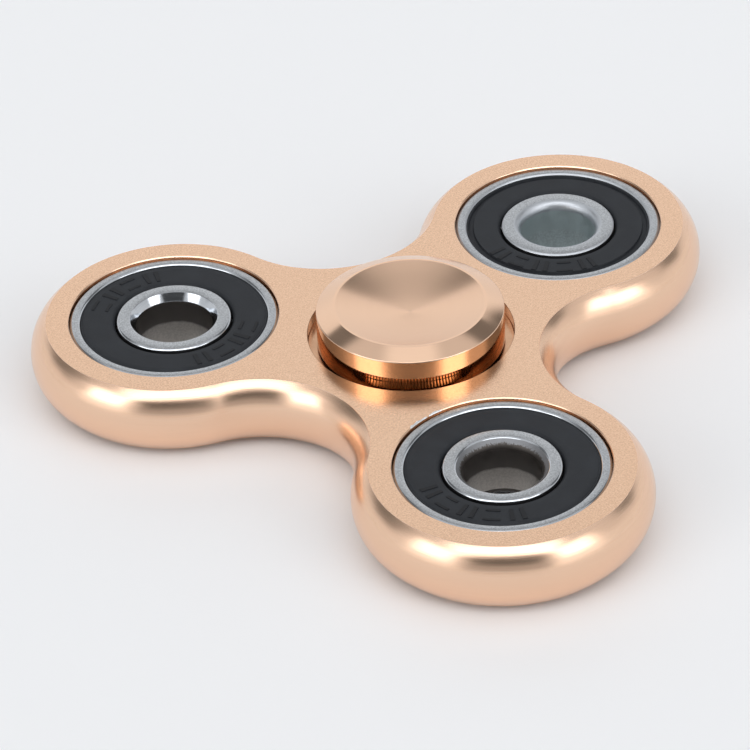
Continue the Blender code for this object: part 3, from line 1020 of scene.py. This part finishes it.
def build_object():
    body_looks = [satin_gold(), edge_gold(), bright_gold(), ribbed_gold(), bare_aluminium(),
                  recess_gold(), painted_shade_gold()]
    piece("body_fine", body_mesh(body_looks), "rotor", "body")
    cap_looks = [turned_gold("turned_rose_gold_dish", 0.24, 0.75, 0.0002 * MM),
                 turned_gold("turned_rose_gold_chamfer", 0.13, 0.5, 0.0008 * MM),
                 polished_gold(), bright_gold()]
    piece("upper_cap_fine", cap_mesh(UPPER_CAP, CAP_TOP, cap_looks), "hub",
          "upper_cap")
    piece("lower_cap_fine", cap_mesh(LOWER_CAP, -FLOOR, cap_looks), "hub",
          "lower_cap", flipped=True)
    face, track = ground_steel(), track_steel()
    polished, satin = chamfer_steel("polished", 0.09), chamfer_steel("satin", 0.4)
    # Bore colours: the first is the painted shade of the upper band, the second the painted
    # reflection in the lower band.
    brown = shaded_bore_steel("brown", (0.17, 0.155, 0.145), (0.62, 0.58, 0.54), 0.36)
    grey = shaded_bore_steel("grey", (0.545, 0.615, 0.62), (0.60, 0.665, 0.67), 0.5)
    rubber, nylon, balls = [seal_rubber(), mark_rubber()], [cage_nylon()], [ball_steel()]
    mouths = {1: (CRISP_MOUTH, [face, polished, brown, track]),
              2: (WORN_MOUTH, [face, polished, brown, track, worn_bevel_steel()]),
              3: (ROUND_MOUTH, [face, satin, grey, track])}
    for number, centre in LOBES.items():
        mouth, steel = mouths[number]
        angles = MARK_ANGLES[number]
        covers = (("upper_seal", "seal_rubber", angles, number == 3, False),
                  ("lower_seal", "seal_rubber", angles, False, True))
        bodies = ("rotor", f"bearing_{number}_inner", f"bearing_{number}_balls")
        build_bearing(f"bearing_{number}", LOBE_BEARING, centre, bodies, mouth,
                      (steel, rubber, nylon, balls), covers)
    shields = (("upper_shield", "shield_steel", (), False, False),
               ("lower_shield", "shield_steel", (), False, True))
    build_bearing("centre", CENTRE_BEARING, Vector(), ("rotor", "hub", "centre_balls"),
                  PLAIN_MOUTH, ([face, polished, brown, track], [pressed_steel()], nylon, balls),
                  shields)


# ---------------------------------------------------------------- floor, light and camera

CAMERA_AZIMUTH = 10.73
CAMERA_ELEVATION = 35.48
CAMERA_ROLL = -2.58
CAMERA_DISTANCE = 441.48 * MM
CAMERA_LENS = 204.6
AIM_RIGHT = -3.72 * MM
AIM_UP = -4.64 * MM


def heading(azimuth, elevation):
    """Unit vector towards a direction; azimuth 0 is towards -Y and 90 towards +X."""
    a, e = math.radians(azimuth), math.radians(elevation)
    return Vector((math.sin(a) * math.cos(e), -math.cos(a) * math.cos(e), math.sin(e)))


def build_camera():
    data = bpy.data.cameras.new("camera")
    data.lens = CAMERA_LENS
    data.clip_start = 0.01
    camera = bpy.data.objects.new("camera", data)
    bpy.context.scene.collection.objects.link(camera)
    back = heading(CAMERA_AZIMUTH, CAMERA_ELEVATION)
    right = Vector((0.0, 0.0, 1.0)).cross(back).normalized()
    up = back.cross(right)
    roll = math.radians(CAMERA_ROLL)
    level_right, level_up = right, up
    right = level_right * math.cos(roll) + level_up * math.sin(roll)
    up = level_up * math.cos(roll) - level_right * math.sin(roll)
    place = back * CAMERA_DISTANCE + right * AIM_RIGHT + up * AIM_UP + Vector((0, 0, HALF_BODY))
    camera.matrix_world = Matrix((right, up, back)).transposed().to_4x4()
    camera.location = place
    bpy.context.scene.camera = camera


# Each panel is: azimuth, elevation, half width, its softness, half height, its softness (all in
# degrees), and radiance. Later panels cover earlier ones.
PANELS = (
    (-105.0, 32.0, 22.0, 14.0, 14.0, 12.0, 0.30),
    (139.0, 36.0, 18.0, 10.0, 14.0, 10.0, 0.12),
    (190.7, 53.0, 64.0, 14.0, 10.0, 6.0, 0.20),
    (190.7, 63.0, 10.5, 17.0, 17.0, 6.0, 0.54),
    (190.7, 84.0, 12.0, 8.0, 11.0, 8.0, 1.02),
    (194.2, 18.0, 30.5, 4.0, 25.5, 3.0, 0.95),
    (194.2, 4.0, 30.5, 6.0, 16.0, 14.0, 0.88),
    (-46.0, 8.0, 19.0, 10.0, 9.0, 8.0, 1.25),
    (64.0, 8.0, 19.0, 10.0, 9.0, 8.0, 1.25),
    (10.7, 12.0, 30.0, 8.0, 8.0, 6.0, 0.44),
    (10.7, 32.0, 26.0, 8.0, 11.5, 4.0, 0.08),
    (9.0, 55.5, 31.0, 8.0, 11.0, 4.0, 2.8),
    (-46.0, 27.5, 14.0, 7.0, 12.5, 8.0, 2.85),
    (64.0, 28.5, 13.0, 7.0, 12.0, 8.0, 2.9),
)
ROOM_LEVEL = 0.86
CEILING_LEVEL = 0.73
CEILING_RISE = (0.1, 0.45)          # sines of the heights where the room fades to the ceiling
ROOM_TINT = (0.985, 1.0, 1.02)
FLOOR_HALF = 3.0


def build_world():
    """A plain studio drawn as soft-edged panels of light round a pale room."""
    world = bpy.data.worlds.new("studio")
    bpy.context.scene.world = world
    world.use_nodes = True
    nodes = Nodes(world.node_tree)
    ray = nodes.node("ShaderNodeTexCoord").outputs["Generated"]
    rise = nodes.dot(ray, (0.0, 0.0, 1.0))
    level = nodes.smooth(rise, *CEILING_RISE, ROOM_LEVEL, CEILING_LEVEL)
    for azimuth, elevation, half_width, soft_width, half_height, soft_height, radiance in PANELS:
        middle = heading(azimuth, elevation)
        right = Vector((0.0, 0.0, 1.0)).cross(middle).normalized()
        up = middle.cross(right)
        mask = nodes.smooth(nodes.dot(ray, tuple(middle)), 0.0, 0.1, 0.0, 1.0)
        sides = ((right, half_width, soft_width), (up, half_height, soft_height))
        for axis, half, softness in sides:
            inside = math.sin(math.radians(half - softness / 2.0))
            outside = math.sin(math.radians(half + softness / 2.0))
            offset = nodes.math("ABSOLUTE", nodes.dot(ray, tuple(axis)))
            mask = nodes.math("MULTIPLY", mask, nodes.smooth(offset, inside, outside, 1.0, 0.0))
        level = nodes.blend(mask, level, radiance)
    tint = nodes.node("ShaderNodeCombineColor")
    for socket, share in zip(("Red", "Green", "Blue"), ROOM_TINT):
        nodes.feed(tint.inputs[socket], nodes.math("MULTIPLY", level, share))
    sky = world.node_tree.nodes["Background"]
    nodes.feed(sky.inputs["Color"], tint.outputs["Color"])


def build_stage():
    bm = bmesh.new()
    bmesh.ops.create_grid(bm, x_segments=8, y_segments=8, size=FLOOR_HALF)
    mesh = finish_mesh("floor", bm, [paper_floor()])
    floor = bpy.data.objects.new("floor", mesh)
    bpy.context.scene.collection.objects.link(floor)
    floor.location.z = FLOOR
    build_world()
    scene = bpy.context.scene
    scene.view_settings.view_transform = "Standard"
    scene.cycles.use_denoising = True


build_object()
build_stage()
build_camera()
